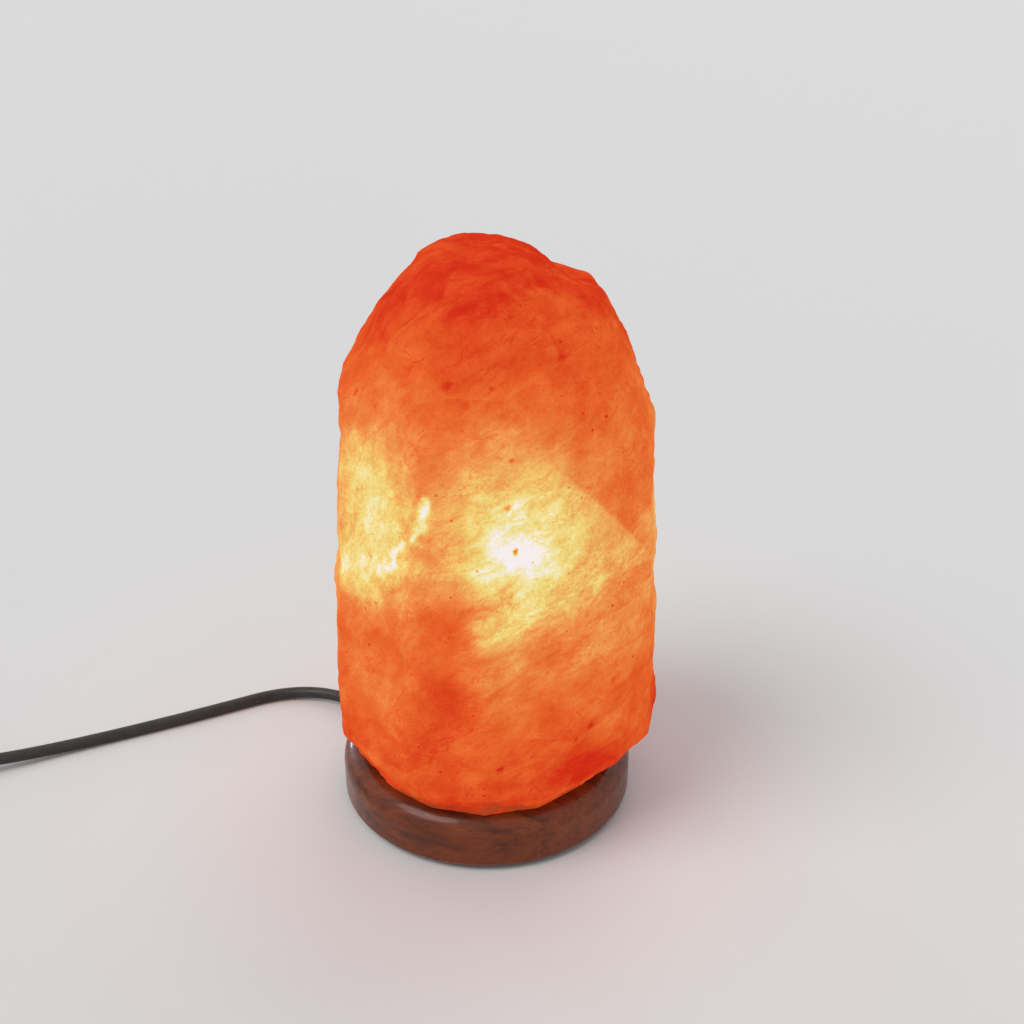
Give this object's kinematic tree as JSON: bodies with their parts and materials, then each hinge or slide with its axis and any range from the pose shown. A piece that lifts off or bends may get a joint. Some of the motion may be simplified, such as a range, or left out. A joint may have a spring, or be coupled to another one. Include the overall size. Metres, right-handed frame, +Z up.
{
  "type": "salt crystal lamp",
  "caption": "Hewn rock salt block on a round wooden foot, lit by a small bulb inside, with a corded inline rocker switch and a flat plug.",
  "frame": {"origin": "on the foot's axis, at the level of the table the lamp stands on", "axes": "+Z up along the foot's axis; -Y is the side the picture shows; +X to its right"},
  "size_m": [0.4623, 0.1398, 0.219],
  "materials": {
    "rock_salt": "rough",
    "lacquered_wood": "gloss",
    "felt": "matte",
    "steel": "satin",
    "spring_steel": "satin",
    "nylon": "matte",
    "holder_plastic": "satin",
    "insulator_ceramic": "matte",
    "brass": "satin",
    "solder": "satin",
    "black_glass": "gloss",
    "clear_glass": "gloss",
    "filament": "satin",
    "wire_insulation": "satin",
    "cord_pvc": "satin",
    "switch_plastic": "satin",
    "plug_pvc": "satin",
    "nickel": "satin"
  },
  "bodies": {
    "lamp": {"salt_crystal": "rock_salt", "wooden_base": "lacquered_wood", "base_pad": "felt", "base_screws": "steel", "wall_plugs": "nylon", "cord_clamp": "nylon", "cord_clamp_screws": "steel", "holder_cap": "holder_plastic", "holder_shell": "holder_plastic", "holder_insert": "insulator_ceramic", "contact_shell": "brass", "centre_contact": "brass", "holder_terminals": "brass", "terminal_screws": "steel", "holder_cord_grip": "nylon", "holder_grip_screws": "steel", "holder_wires": "wire_insulation", "spring_clip": "spring_steel", "clamp_ring": "holder_plastic", "cord_lamp_to_switch": "cord_pvc", "cord_switch_to_coil": "cord_pvc", "cord_coil": "cord_pvc", "cord_coil_to_plug": "cord_pvc", "switch_bottom": "switch_plastic", "switch_top": "switch_plastic", "rocker_pin": "steel", "switch_fixed_contact": "brass", "switch_pivot_contact": "brass", "switch_terminal_screws": "steel", "switch_cord_grips": "nylon", "switch_grip_screws": "steel", "switch_housing_screws": "steel", "switch_wires": "wire_insulation", "plug_body": "plug_pvc", "plug_pins": "nickel", "pin_sleeves": "plug_pvc", "plug_strain_relief": "plug_pvc"},
    "bulb_foot": {"bulb_tip": "solder"},
    "bulb": {"bulb_cap": "nickel", "bulb_glass": "clear_glass", "bulb_insulator": "black_glass", "bulb_stem": "clear_glass", "bulb_leads": "steel", "bulb_filament": "filament"},
    "rocker": {"switch_rocker": "switch_plastic", "rocker_plunger": "brass"},
    "see_saw": {"switch_see_saw": "brass"}
  },
  "joints": [
    {"name": "bulb_lift", "type": "slide", "parent": "lamp", "child": "bulb_foot", "axis": [0, 0, 1], "range_m": [0, 0.01128]},
    {"name": "bulb_turn", "type": "hinge", "parent": "bulb_foot", "child": "bulb", "pos_m": [0, 0, 0.0475], "axis": [0, 0, 1], "range_deg": [0, 1440]},
    {"name": "rocker_tilt", "type": "hinge", "parent": "lamp", "child": "rocker", "pos_m": [-0.26511, -0.01386, 0.0132], "axis": [0.2419, -0.9703, 0], "range_deg": [0, 24]},
    {"name": "see_saw_tilt", "type": "hinge", "parent": "lamp", "child": "see_saw", "pos_m": [-0.26511, -0.01386, 0.0072], "axis": [0.2419, -0.9703, 0], "range_deg": [-12, 0]}
  ],
  "couplings": [
    {"joint": "bulb_turn", "follows": "bulb_lift", "rad_per_m": 2228.1},
    {"joint": "see_saw_tilt", "follows": "rocker_tilt", "ratio": -0.5}
  ]
}
